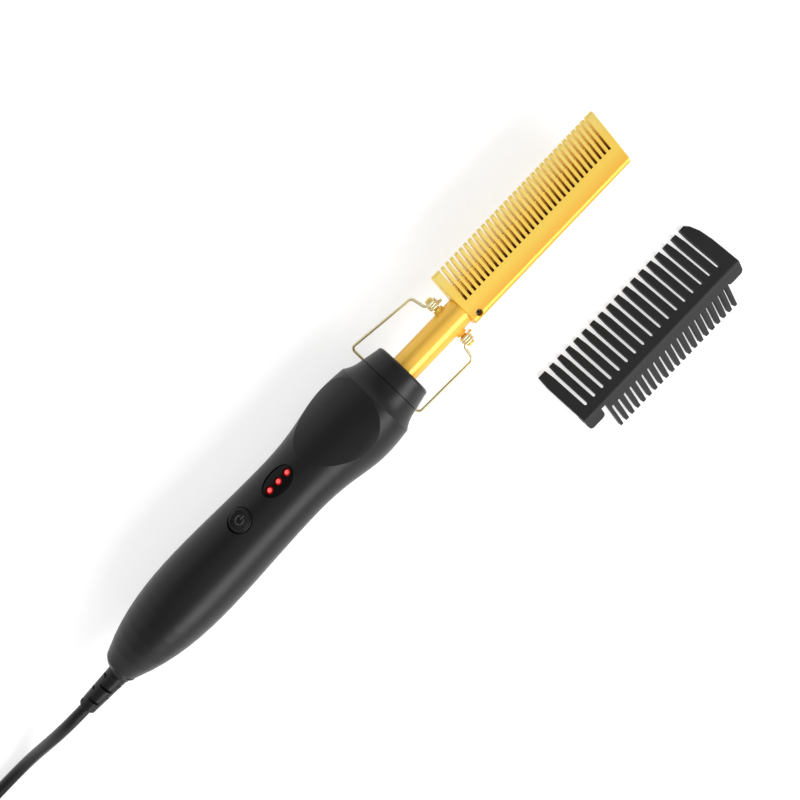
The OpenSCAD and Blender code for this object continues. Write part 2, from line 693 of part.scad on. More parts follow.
module plug_body() {
    color([0.06, 0.06, 0.06]) plug_frame() difference() {
        intersection() {
            translate([0, 0, -plug_at[2]]) linear_extrude(plug_h) polygon(both_sides([[0, 4.2],
                [5, 4.6], [9, 6], [14, 9.5], [20, 14], [25, 16.6], [28, plug_w/2], [plug_len - 1, plug_w/2],
                [plug_len, plug_w/2 - 1]]));
            rotate([90, 0, 0]) translate([0, 0, -20]) linear_extrude(40) polygon(both_sides([[0, 4],
                [5, 4.2], [12, 5.6], [17, plug_h/2 - 0.3], [20, plug_h/2], [plug_len - 0.6, plug_h/2],
                [plug_len, plug_h/2 - 0.6]]));
        }
        for (s = [-1, 1]) translate([0, s*pin_gap/2, 0]) rod(plug_len - 8, plug_len + 1, pin_sleeve_r + 0.02);
    }
}
module plug_pins() {
    color([0.8, 0.8, 0.82]) plug_frame() for (s = [-1, 1]) translate([0, s*pin_gap/2, 0]) {
        rod(plug_len - 8, plug_len + 10, pin_sleeve_r);
        rod(plug_len + 10, plug_len + pin_len - 1.2, pin_r);
        translate([plug_len + pin_len - 1.2, 0, 0]) rotate([0, 90, 0]) cylinder(r1 = pin_r, r2 = 1.1, h = 1.2);
    }
}

// ---- Comb guard ----------------------------------------------------------
long_slots = 17;
long_pitch = 5.14;
long_root = 3.4;
fine_slots = 20;
fine_pitch = 3.69;
fine_root = 4.6;
fine_edge = 11.9;
lug_w = 9.2;
lug_len = 5.9;
module guard_frame() { translate([tool_x + guard_x, tool_y + guard_y, guard_z]) children(); }
// Slot from its round root to its flared mouth, along +Y
module slot_shape(root, end, half_root, half_mouth) {
    polygon(cat(arc(0, root + half_root, half_root, 180, 360, 6), [[half_root*1.15, end - 5],
        [half_mouth, end + 1], [-half_mouth, end + 1], [-half_root*1.15, end - 5]]));
}
module long_plate() {
    first = (guard_len - (long_slots - 1)*long_pitch)/2 - 0.7;
    rotate([-guard_slope, 0, 0]) translate([0, 0, guard_bend_r - guard_t - bend_step])
        linear_extrude(guard_t) difference() {
        polygon([[0, 0], [guard_len, 0], [guard_len, guard_long*0.5], [guard_len - 0.6, guard_long*0.75],
            [guard_len - 2, guard_long*0.92], [guard_len - 3.6, guard_long], [0.7, guard_long], [0, guard_long - 6]]);
        for (i = [0:long_slots - 1]) translate([first + i*long_pitch, 0])
            slot_shape(long_root, guard_long, 0.8, 1.45);
    }
}
module fine_plate() {
    span = guard_len - 2*fine_edge + 2.7;
    first = fine_edge + (span - (fine_slots - 1)*fine_pitch)/2;
    rotate([180 + fine_slope, 0, 0]) mirror([0, 0, 1]) translate([0, 0, guard_bend_r - fine_t - bend_step]) {
        linear_extrude(fine_t) difference() {
            translate([fine_edge, 0]) square([span, guard_fine]);
            for (i = [0:fine_slots - 1]) translate([first + i*fine_pitch, 0])
                slot_shape(fine_root, guard_fine, 0.72, 0.95);
        }
        for (x = [0, guard_len - lug_w]) translate([x, 0, 0]) lug();
    }
}
module lug() {
    linear_extrude(fine_t) polygon(cat([[0, 0], [lug_w, 0]], cat(arc(lug_w - 2, lug_len - 2, 2, 0, 90, 6),
        arc(2, lug_len - 2, 2, 90, 180, 6))));
}
module comb_guard() {
    color([0.14, 0.14, 0.14]) guard_frame() union() {
        rod(0, guard_len, guard_bend_r);
        long_plate();
        fine_plate();
    }
}

handle_upper_shell();
handle_lower_shell();
collar_ring();
barrel_bushing();
barrel_flange();
barrel_tube();
head_adapter();
comb_head();
head_screw();
heater_film();
heater_electrodes();
ptc_chips();
heater_leads();
thermal_fuse();
stand_studs();
stand_bail();
circuit_board();
board_screws();
tact_switch();
switch_plunger();
power_button();
led_window();
status_leds();
shell_screws();
strain_relief();
mains_leads();
cord_clamp();
clamp_screws();
comb_guard();
power_cord();
cord_coil();
cord_tie();
plug_body();
plug_pins();
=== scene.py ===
"""Looks of an electric hot comb: finishes, comb head, button trim, mains lead, studio and camera.

The scene is in metres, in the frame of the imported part: +X runs along the barrel to the comb, +Y is the
side that the metal teeth point to, and the table is at z = 0. Sizes held by the classes are millimetres
in the tool's frame, whose origin is TOOL, and MM turns them into metres.
"""

from __future__ import annotations

import logging
import math
from dataclasses import dataclass
from enum import Enum

import bmesh
import bpy
from mathutils import Matrix, Vector


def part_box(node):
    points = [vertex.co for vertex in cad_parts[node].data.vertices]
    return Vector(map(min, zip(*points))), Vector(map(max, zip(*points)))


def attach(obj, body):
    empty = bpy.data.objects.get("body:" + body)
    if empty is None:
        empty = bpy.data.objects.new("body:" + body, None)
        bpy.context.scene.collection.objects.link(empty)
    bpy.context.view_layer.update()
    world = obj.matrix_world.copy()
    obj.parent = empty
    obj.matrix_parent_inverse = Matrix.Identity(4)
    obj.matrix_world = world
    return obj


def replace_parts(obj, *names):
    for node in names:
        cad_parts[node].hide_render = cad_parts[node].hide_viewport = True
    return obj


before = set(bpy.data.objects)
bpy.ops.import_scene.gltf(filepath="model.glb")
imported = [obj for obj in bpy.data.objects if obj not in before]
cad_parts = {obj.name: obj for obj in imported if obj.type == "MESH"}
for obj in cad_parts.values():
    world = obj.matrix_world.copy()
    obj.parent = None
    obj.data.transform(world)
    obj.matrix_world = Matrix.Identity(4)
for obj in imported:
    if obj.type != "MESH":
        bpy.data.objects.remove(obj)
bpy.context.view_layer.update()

log = logging.getLogger("hot_comb")

MM = 0.001
TOOL = Vector((26.575, 34.785, 18.8)) * MM  # barrel axis at the collar's front face
THUMB_TURN = math.radians(30.0)  # turn of the button's axis from +Z towards the teeth
ALONG = Matrix(((0, 0, 1, 0), (1, 0, 0, 0), (0, 1, 0, 0), (0, 0, 0, 1)))  # turns Z to +X and X to +Y
X, Y, Z = range(3)
WHITE = (1.0, 1.0, 1.0)
BLACK = (0.0, 0.0, 0.0)
NOISE_MEAN = 0.5
GRAIN_OCTAVES = 2.0
CLOUD_OCTAVES = 3.0
LINE_OCTAVES = 4.0
MARK_OCTAVES = 5.0
CREASE = 30.0  # edges sharper than this many degrees stay sharp
WIRE_CREASE = 60.0  # the same for thin wires with few sides

Colour = tuple[float, float, float]
Point = tuple[float, float, float]
Span = tuple[float, float]


def in_metres(axis: int, *places: float) -> tuple[float, ...]:
    """Coordinates of the part's frame, in metres, from millimetres in the tool's frame."""
    return tuple(TOOL[axis] + place * MM for place in places)


def shade(tint: Colour, factor: float) -> Colour:
    """A colour times a factor, with no channel above 1."""
    return tuple(min(1.0, channel * factor) for channel in tint)


# ---- Node wiring -----------------------------------------------------------
class Wire:
    """A socket of a node tree on which Python's operators add Math nodes."""

    def __init__(self, bench: Bench, socket: bpy.types.NodeSocket) -> None:
        """Keeps the tree and the socket.

        Args:
            bench: the node tree being wired.
            socket: the output that this value comes from.
        """
        self.bench = bench
        self.socket = socket

    def _math(self, operation: str, a: Wire | float, b: Wire | float) -> Wire:
        """Adds one Math node.

        Args:
            operation: the node's operation.
            a: first operand.
            b: second operand.

        Returns:
            The node's result.
        """
        return self.bench.add("ShaderNodeMath", {"operation": operation}, {0: a, 1: b})

    def __add__(self, other: Wire | float) -> Wire:
        """self + other."""
        return self._math("ADD", self, other)

    def __radd__(self, other: float) -> Wire:
        """other + self."""
        return self._math("ADD", other, self)

    def __sub__(self, other: Wire | float) -> Wire:
        """self - other."""
        return self._math("SUBTRACT", self, other)

    def __rsub__(self, other: float) -> Wire:
        """other - self."""
        return self._math("SUBTRACT", other, self)

    def __mul__(self, other: Wire | float) -> Wire:
        """self * other."""
        return self._math("MULTIPLY", self, other)

    def __rmul__(self, other: float) -> Wire:
        """other * self."""
        return self._math("MULTIPLY", other, self)

    def __gt__(self, other: Wire | float) -> Wire:
        """1 where self is greater than other, else 0."""
        return self._math("GREATER_THAN", self, other)

    def ramp(self, low: float, high: float) -> Wire:
        """0 at low and below, 1 at high and above, smooth between."""
        return self.bench.add("ShaderNodeMapRange", {"interpolation_type": "SMOOTHSTEP"},
                              {"Value": self, "From Min": low, "From Max": high})


class Bench:
    """A node tree under construction."""

    def __init__(self, tree: bpy.types.NodeTree) -> None:
        """Keeps the tree."""
        self.tree = tree

    def add(self, kind: str, settings: dict[str, object] | None = None,
            values: dict[int | str, object] | None = None, out: int | str = 0) -> Wire:
        """Adds any node.

        Args:
            kind: the node's type.
            settings: attributes set before the sockets.
            values: numbers, tuples or wires for the sockets, by index or name.
            out: the output to return.

        Returns:
            The chosen output.
        """
        node = self.tree.nodes.new(kind)
        for key, value in (settings or {}).items():
            setattr(node, key, value)
        for key, value in (values or {}).items():
            self.feed(node.inputs[key], value)
        return Wire(self, node.outputs[out])

    def feed(self, socket: bpy.types.NodeSocket, value: object) -> None:
        """Links or sets one input.

        Args:
            socket: the input.
            value: a wire to link, or a number or tuple to set.
        """
        if isinstance(value, Wire):
            self.tree.links.new(value.socket, socket)
        elif isinstance(value, tuple) and socket.type == "RGBA":
            socket.default_value = (*value, 1.0)
        else:
            socket.default_value = value

    def split(self, vector: Wire) -> tuple[Wire, ...]:
        """The three parts of a vector."""
        node = self.add("ShaderNodeSeparateXYZ", None, {0: vector}).socket.node
        return tuple(Wire(self, output) for output in node.outputs)

    def seen(self) -> Wire:
        """Tells the rays that show a background from those that light things.

        Returns:
            1 for camera, glossy and transmission rays, else 0.
        """
        camera, glossy, through = (self.add("ShaderNodeLightPath", out=f"Is {kind} Ray")
                                   for kind in ("Camera", "Glossy", "Transmission"))
        return (camera + glossy + through) > 0.5


class Paint(Bench):
    """One material under construction: a Principled surface and the nodes that feed it."""

    def __init__(self, name: str) -> None:
        """Starts the material.

        Args:
            name: the material's name.
        """
        self.material = bpy.data.materials.new(name)
        self.material.use_nodes = True
        super().__init__(self.material.node_tree)
        self.surface = self.tree.nodes["Principled BSDF"]

    def finish(self, **sockets: object) -> bpy.types.Material:
        """Feeds the Principled surface.

        Args:
            sockets: values by socket name, with underscores for spaces.

        Returns:
            The finished material.
        """
        for key, value in sockets.items():
            self.feed(self.surface.inputs[key.replace("_", " ")], value)
        return self.material

    def place(self, stretch: Point = (1.0, 1.0, 1.0)) -> Wire:
        """Object coordinates, scaled by a factor along each axis."""
        coordinate = self.add("ShaderNodeTexCoord", out="Object")
        return self.add("ShaderNodeMapping", None, {"Vector": coordinate, "Scale": stretch})

    def noise(self, scale: float, octaves: float, stretch: Point = (1.0, 1.0, 1.0)) -> Wire:
        """Noise over the object.

        Args:
            scale: waves per metre.
            octaves: layers of finer and finer waves.
            stretch: factors along the three axes.

        Returns:
            The noise, about NOISE_MEAN.
        """
        return self.add("ShaderNodeTexNoise", None,
                        {"Vector": self.place(stretch), "Scale": scale, "Detail": octaves}, "Fac")

    def blend(self, share: Wire | float, a: Colour | Wire, b: Colour | Wire) -> Wire:
        """Mixes two colours.

        Args:
            share: 0 gives a, 1 gives b.
            a: first colour.
            b: second colour.

        Returns:
            The mixed colour.
        """
        return self.add("ShaderNodeMix", {"data_type": "RGBA"}, {0: share, 6: a, 7: b}, 2)

    def relief(self, height: Wire, depth: float) -> Wire:
        """Bump from a height.

        Args:
            height: the height, 0 to 1.
            depth: the depth in metres of a height of 1.

        Returns:
            The bumped normal.
        """
        return self.add("ShaderNodeBump", None, {"Strength": 1.0, "Distance": depth, "Height": height})


# ---- Finishes: scales in waves per metre, depths in metres ------------------
@dataclass(frozen=True)
class MouldedPlastic:
    """Moulded or rubbery black plastic with a fine spark-eroded grain and faint clouds."""

    name: str
    tint: Colour
    roughness: float
    grain: float = 2600.0
    grain_depth: float = 6e-6
    cloud: float = 0.2
    specular: float = 0.5
    cloud_scale: float = 60.0
    cloud_sheen: float = 0.12
    grain_sheen: float = 0.1

    def make(self) -> bpy.types.Material:
        """Builds the material.

        Returns:
            The material.
        """
        paint = Paint(self.name)
        clouds = paint.noise(self.cloud_scale, CLOUD_OCTAVES)
        grain = paint.noise(self.grain, GRAIN_OCTAVES)
        darker, lighter = shade(self.tint, 1 - self.cloud), shade(self.tint, 1 + self.cloud)
        return paint.finish(
            Base_Color=paint.blend(clouds, darker, lighter),
            Roughness=(self.roughness + (clouds - NOISE_MEAN) * self.cloud_sheen
                       + (grain - NOISE_MEAN) * self.grain_sheen),
            Specular_IOR_Level=self.specular,
            Normal=paint.relief(grain, self.grain_depth))


@dataclass(frozen=True)
class GoldPlate:
    """Satin gold plating with fine lines drawn along the barrel.

    It carries painted light and shade: painted shade in darker orange towards the thick back, painted light
    paling towards the teeth's ends, and painted shade in dark brown deep in the slots.
    """

    name: str
    tint: Colour
    warm: Colour
    roughness: float
    metallic: float
    # painted shade: the darker orange towards the thick back, standing in for its darker reflection
    back_shade_tint: Colour = (0.96, 0.48, 0.06)
    back_shade_reach: Span = (-7.0, 0.5)
    # painted light: the paler colour towards the teeth's ends, where the face looks brightest
    tip_light_tint: Colour = (1.0, 0.84, 0.28)
    tip_light_reach: Span = (4.0, 17.0)
    tip_light_share: float = 0.6
    # painted shade: dark brown deep in the slots, where shadow falls
    slot_shade_tint: Colour = (0.45, 0.23, 0.02)
    slots: Span = (35.0, 121.0)
    slot_root: float = 1.9
    slot_mouth: Span = (8.8, 9.6)
    slot_lip: Span = (5.4, 5.9)
    line_scale: float = 900.0
    line_stretch: Point = (0.03, 1.0, 1.0)
    line_share: float = 0.2
    line_sheen: float = 0.14
    line_depth: float = 2e-6
    cloud_scale: float = 45.0
    cloud_sheen: float = 0.08

    def _painted_slot_shade(self, along: Wire, across: Wire, height: Wire) -> Wire:
        """Mask of the painted shade on the slots' lower walls and on the web at their roots.

        Args:
            along: place along the barrel.
            across: place towards the teeth's ends.
            height: height over the table.

        Returns:
            1 deep in the slots, else 0.
        """
        first, last = in_metres(X, *self.slots)
        return ((along > first) * (1 - (along > last)) * (across > TOOL.y + self.slot_root * MM)
                * (1 - across.ramp(*in_metres(Y, *self.slot_mouth)))
                * (1 - height.ramp(*in_metres(Z, *self.slot_lip))) * (height > TOOL.z))

    def make(self) -> bpy.types.Material:
        """Builds the material.

        Returns:
            The material.
        """
        paint = Paint(self.name)
        lines = paint.noise(self.line_scale, LINE_OCTAVES, self.line_stretch)
        clouds = paint.noise(self.cloud_scale, CLOUD_OCTAVES)
        along, across, height = paint.split(paint.place())
        # painted shade: share of the darker orange, growing towards the thick back
        painted_back_share = 1 - across.ramp(*in_metres(Y, *self.back_shade_reach))
        # painted light: share of the paler colour, growing towards the teeth's ends
        painted_tip_share = across.ramp(*in_metres(Y, *self.tip_light_reach)) * self.tip_light_share
        colour = paint.blend(clouds * (1 - self.line_share) + lines * self.line_share, self.tint, self.warm)
        colour = paint.blend(painted_tip_share, paint.blend(painted_back_share, colour, self.back_shade_tint), self.tip_light_tint)
        return paint.finish(
            # painted shade in the slots, mixed over the colour
            Base_Color=paint.blend(self._painted_slot_shade(along, across, height), colour, self.slot_shade_tint),
            Metallic=self.metallic,
            Roughness=(self.roughness + (lines - NOISE_MEAN) * self.line_sheen
                       + (clouds - NOISE_MEAN) * self.cloud_sheen),
            Normal=paint.relief(lines, self.line_depth))


@dataclass(frozen=True)
class BareMetal:
    """Plated or rolled metal with faint handling marks."""

    name: str
    tint: Colour
    roughness: float
    metallic: float = 1.0
    mark_scale: float = 1400.0
    mark_stretch: Point = (0.3, 1.0, 0.6)
    mark_shade: float = 0.82
    mark_sheen: float = 0.25
    mark_depth: float = 3e-6

    def make(self) -> bpy.types.Material:
        """Builds the material.

        Returns:
            The material.
        """
        paint = Paint(self.name)
        marks = paint.noise(self.mark_scale, MARK_OCTAVES, self.mark_stretch)
        return paint.finish(
            Base_Color=paint.blend(marks, self.tint, shade(self.tint, self.mark_shade)),
            Metallic=self.metallic,
            Roughness=self.roughness + (marks - NOISE_MEAN) * self.mark_sheen,
            Normal=paint.relief(marks, self.mark_depth))


@dataclass(frozen=True)
class Fired:
    """Ceramic, film or lacquer of the hidden electrical pieces, with specks."""

    name: str
    tint: Colour
    roughness: float
    speck: Colour
    speck_scale: float = 3000.0
    speck_floor: float = 0.6
    speck_share: float = 0.5
    speck_sheen: float = 0.2
    speck_depth: float = 8e-6

    def make(self) -> bpy.types.Material:
        """Builds the material.

        Returns:
            The material.
        """
        paint = Paint(self.name)
        grains = paint.noise(self.speck_scale, CLOUD_OCTAVES)
        return paint.finish(
            Base_Color=paint.blend((grains > self.speck_floor) * self.speck_share, self.tint, self.speck),
            Roughness=self.roughness + (grains - NOISE_MEAN) * self.speck_sheen,
            Normal=paint.relief(grains, self.speck_depth))


@dataclass(frozen=True)
class LampLens:
    """Frosted red lens that glows on its crown."""

    name: str
    tint: Colour
    glow: Colour
    halo: Colour
    roughness: float = 0.22
    core: Span = (13.8, 14.25)  # heights over the barrel's axis between which the glow grows
    frost_scale: float = 5000.0
    frost_shade: float = 1.4
    frost_sheen: float = 0.1
    frost_depth: float = 8e-6

    def _crown(self, paint: Paint) -> Wire:
        """1 on the crown of each lens, 0 at its rim.

        Args:
            paint: the material being wired.

        Returns:
            The share of the bright core.
        """
        _, across, height = paint.split(paint.place())
        rise = (across - TOOL.y) * math.sin(THUMB_TURN) + (height - TOOL.z) * math.cos(THUMB_TURN)
        return rise.ramp(*(place * MM for place in self.core))

    def make(self) -> bpy.types.Material:
        """Builds the material.

        Returns:
            The material.
        """
        paint = Paint(self.name)
        frost = paint.noise(self.frost_scale, GRAIN_OCTAVES)
        return paint.finish(
            Base_Color=paint.blend(frost, self.tint, shade(self.tint, self.frost_shade)),
            Roughness=self.roughness + frost * self.frost_sheen,
            Emission_Color=paint.blend(self._crown(paint), self.halo, self.glow),
            Emission_Strength=1.0,
            Normal=paint.relief(frost, self.frost_depth))


@dataclass(frozen=True)
class FloorPaper:
    """White paper that keeps a faint shadow."""

    name: str = "floor_paper"
    dark: Colour = (0.48, 0.48, 0.48)
    light: Colour = (0.52, 0.52, 0.52)
    lift: Colour = (0.66, 0.66, 0.66)  # what seen rays add, so that the paper looks white
    fibre_scale: float = 220.0
    roughness: float = 0.9

    def make(self) -> bpy.types.Material:
        """Builds the material.

        Returns:
            The material.
        """
        paint = Paint(self.name)
        fibres = paint.noise(self.fibre_scale, CLOUD_OCTAVES)
        return paint.finish(
            Base_Color=paint.blend(fibres, self.dark, self.light),
            Roughness=self.roughness,
            Specular_IOR_Level=0.0,
            Emission_Color=paint.blend(paint.seen(), BLACK, self.lift),
            Emission_Strength=1.0)


MADE: dict[str, bpy.types.Material] = {}  # materials by finish


class Finish(Enum):
    """The finishes, named as the record's material slots but for barrel_gold and button_sign."""

    HANDLE = MouldedPlastic("handle_plastic", (0.005, 0.005, 0.0052), 0.36, specular=0.3)
    COLLAR = MouldedPlastic("collar_plastic", (0.006, 0.006, 0.0062), 0.36, specular=0.34)
    BUTTON = MouldedPlastic("button_plastic", (0.004, 0.004, 0.0042), 0.26, 3200.0, 3e-6, specular=0.3)
    SIGN = MouldedPlastic("button_sign", (0.05, 0.05, 0.052), 0.3)
    WINDOW = MouldedPlastic("window_plastic", (0.002, 0.002, 0.0023), 0.08, 900.0, 3e-7, 0.1, 0.15)
    GUARD = MouldedPlastic("guard_plastic", (0.014, 0.014, 0.0142), 0.5, 2200.0, 1.4e-5, specular=0.27)
    CORD = MouldedPlastic("cord_rubber", (0.004, 0.004, 0.0042), 0.34, 1500.0, 1e-5, 0.15, 0.3)
    TIE = MouldedPlastic("tie_plastic", (0.03, 0.03, 0.03), 0.4)
    SWITCH = MouldedPlastic("switch_plastic", (0.03, 0.03, 0.03), 0.5)
    # both gold finishes carry GoldPlate's painted shade towards -Y, painted light towards +Y and painted
    # shade in the slots
    GOLD = GoldPlate("gold_metal", (1.0, 0.7, 0.12), (1.0, 0.64, 0.09), 0.38, 0.5)
    BARREL = GoldPlate("barrel_gold", (1.0, 0.6, 0.09), (0.97, 0.54, 0.07), 0.26, 0.4)
    WIRE = BareMetal("wire_steel", (0.86, 0.76, 0.46), 0.25, 0.65)
    DARK = BareMetal("dark_steel", (0.08, 0.06, 0.05), 0.4)
    ZINC = BareMetal("zinc_steel", (0.62, 0.62, 0.62), 0.35)
    PIN = BareMetal("pin_metal", (0.75, 0.74, 0.72), 0.2)
    ELECTRODE = BareMetal("electrode", (0.78, 0.78, 0.79), 0.4)
    INSULATOR = Fired("insulator", (0.82, 0.8, 0.74), 0.6, (0.6, 0.57, 0.5))
    FILM = Fired("insulator_film", (0.6, 0.27, 0.05), 0.25, (0.5, 0.2, 0.04))
    CHIP = Fired("heater_chip", (0.1, 0.1, 0.11), 0.55, (0.2, 0.2, 0.2))
    SLEEVE = Fired("lead_sleeve", (0.75, 0.74, 0.68), 0.6, (0.55, 0.54, 0.5))
    FUSE = Fired("fuse_body", (0.6, 0.55, 0.4), 0.5, (0.45, 0.4, 0.3))
    BOARD = Fired("board", (0.02, 0.13, 0.05), 0.3, (0.05, 0.2, 0.08))
    LAMP = LampLens("lamp_lens", (0.5, 0.02, 0.02), (1.0, 0.12, 0.12), (0.25, 0.0, 0.0))

    def material(self) -> bpy.types.Material:
        """The finish's material, made at its first use.

        Returns:
            The material.
        """
        if self.name not in MADE:
            MADE[self.name] = self.value.make()
        return MADE[self.name]


def dress(finish: Finish, *nodes: str) -> None:
    """Gives CAD nodes a finish.

    Args:
        finish: the finish.
        nodes: the nodes' names.
    """
    for name in nodes:
        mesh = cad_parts[name].data
        mesh.materials.clear()
        mesh.materials.append(finish.material())
        log.info("dressed %s in %s", name, finish.name.lower())


def add_object(name: str, data: bpy.types.ID) -> bpy.types.Object:
    """Puts a new object in the scene.

    Args:
        name: the object's name.
        data: its mesh, curve, lamp or camera.

    Returns:
        The object.
    """
    obj = bpy.data.objects.new(name, data)
    bpy.context.scene.collection.objects.link(obj)
    return obj


def piece(name: str, mesh: bpy.types.Mesh, finish: Finish, body: str) -> bpy.types.Object:
    """Adds a piece that rides on a body.

    Args:
        name: the piece's name.
        mesh: its mesh, in the part's frame.
        finish: its finish.
        body: the body that carries it.

    Returns:
        The new object.
    """
    obj = add_object(name, mesh)
    mesh.materials.clear()
    mesh.materials.append(finish.material())
    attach(obj, body)
    log.info("built %s on %s", name, body)
    return obj


# ---- Mesh making: profiles and frames in millimetres, meshes in metres -------
def arc(centre: Span, radius: float, start: float, end: float, steps: int) -> list[Span]:
    """Points along an arc.

    Args:
        centre: its centre.
        radius: its radius.
        start: first angle in degrees.
        end: last angle in degrees.
        steps: number of chords.

    Returns:
        The points.
    """
    angles = [math.radians(start + (end - start) * i / steps) for i in range(steps + 1)]
    return [(centre[0] + radius * math.cos(a), centre[1] + radius * math.sin(a)) for a in angles]


def circle(centre: Span, radius: float, sides: int) -> list[Span]:
    """Points of a whole circle."""
    return arc(centre, radius, 0, 360, sides)[:-1]


def put(frame_of: Matrix, x: float, y: float, z: float) -> Vector:
    """A point of a frame in millimetres, as a place in metres."""
    return (frame_of @ Vector((x, y, z))) * MM


def loft(loops: list[list[Vector]], closed: bool = False) -> bmesh.types.BMesh:
    """Joins loops of points by quads.

    Args:
        loops: loops with the same number of points, in metres.
        closed: whether the last loop joins the first; else both ends are capped.

    Returns:
        The form, with its faces outwards.
    """
    form = bmesh.new()
    rings = [[form.verts.new(p) for p in loop] for loop in loops]
    pairs = list(zip(rings, rings[1:])) + ([(rings[-1], rings[0])] if closed else [])
    for a, b in pairs:
        for i in range(len(a)):
            j = (i + 1) % len(a)
            form.faces.new((a[i], a[j], b[j], b[i]))
    if not closed:
        form.faces.new(rings[0][::-1])
        form.faces.new(rings[-1])
    bmesh.ops.recalc_face_normals(form, faces=form.faces)
    return form


def prism(section: list[Span], ends: Span, frame_of: Matrix) -> bmesh.types.BMesh:
    """A straight bar along a frame's Z axis.

    Args:
        section: its outline, x and y of the frame.
        ends: where it starts and ends.
        frame_of: the frame.

    Returns:
        The bar.
    """
    return loft([[put(frame_of, x, y, end) for x, y in section] for end in ends])


def lathe(profile: list[Span], frame_of: Matrix, steps: int = 96, gap: float = 0.0) -> bmesh.types.BMesh:
    """Turns a closed profile about a frame's Z axis.

    Args:
        profile: points of radius and height.
        frame_of: the frame.
        steps: number of stations.
        gap: degrees left open on each side of the frame's X axis.

    Returns:
        The turned form.
    """
    loops = []
    for i in range(steps + 1 if gap else steps):
        a = math.radians(gap + (360.0 - 2 * gap) * i / steps)
        loops.append([put(frame_of, r * math.cos(a), r * math.sin(a), z) for r, z in profile])
    return loft(loops, closed=not gap)


def round_off(form: bmesh.types.BMesh, mesh: bpy.types.Mesh, crease: float) -> None:
    """Writes a form into a mesh, its round faces smooth and its creases sharp.

    Args:
        form: the form, which is freed.
        mesh: the mesh.
        crease: edges sharper than this many degrees stay sharp.
    """
    for face in form.faces:
        face.smooth = True
    for edge in form.edges:
        edge.smooth = edge.calc_face_angle(0.0) < math.radians(crease)
    form.to_mesh(mesh)
    form.free()


def to_mesh(form: bmesh.types.BMesh, name: str, crease: float = CREASE) -> bpy.types.Mesh:
    """Turns a form into a mesh.

    Args:
        form: the form, which is freed.
        name: the mesh's name.
        crease: edges sharper than this many degrees stay sharp.

    Returns:
        The mesh.
    """
    mesh = bpy.data.meshes.new(name)
    round_off(form, mesh, crease)
    return mesh


def carve(mesh: bpy.types.Mesh, cutters: list[bmesh.types.BMesh]) -> bpy.types.Mesh:
    """Cuts forms that don't touch each other out of a mesh.

    Args:
        mesh: the solid.
        cutters: the forms to take away, which are freed.

    Returns:
        The carved mesh.
    """
    joined = bpy.data.meshes.new("cutter")
    tool = bmesh.new()
    for cutter in cutters:
        bmesh.ops.triangulate(cutter, faces=[f for f in cutter.faces if len(f.verts) > 4])
        cutter.to_mesh(joined)
        tool.from_mesh(joined)
        cutter.free()
    tool.to_mesh(joined)
    tool.free()
    solid, knife = add_object("solid", mesh), add_object("knife", joined)
    modifier = solid.modifiers.new("carve", "BOOLEAN")
    modifier.operation = "DIFFERENCE"
    modifier.solver = "EXACT"
    modifier.object = knife
    evaluated = solid.evaluated_get(bpy.context.evaluated_depsgraph_get())
    result = bpy.data.meshes.new_from_object(evaluated)
    for obj in (solid, knife):
        bpy.data.objects.remove(obj)
    return result


def clean(mesh: bpy.types.Mesh, weld: float = 1e-7) -> bpy.types.Mesh:
    """Welds a carved mesh and marks its creases.

    Args:
        mesh: the mesh, which is changed.
        weld: points nearer than this, in metres, become one.

    Returns:
        The same mesh.
    """
    form = bmesh.new()
    form.from_mesh(mesh)
    bmesh.ops.remove_doubles(form, verts=form.verts, dist=weld)
    round_off(form, mesh, CREASE)
    return mesh


def tool_frame() -> Matrix:
    """Frame of the tool: origin on the barrel's axis at the collar's front face."""
    return Matrix.Translation(TOOL / MM)


def end_of(node: str, corner: int) -> float:
    """Where a CAD node starts, corner 0, or ends, corner 1, along the barrel."""
    return (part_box(node)[corner][X] - TOOL.x) / MM


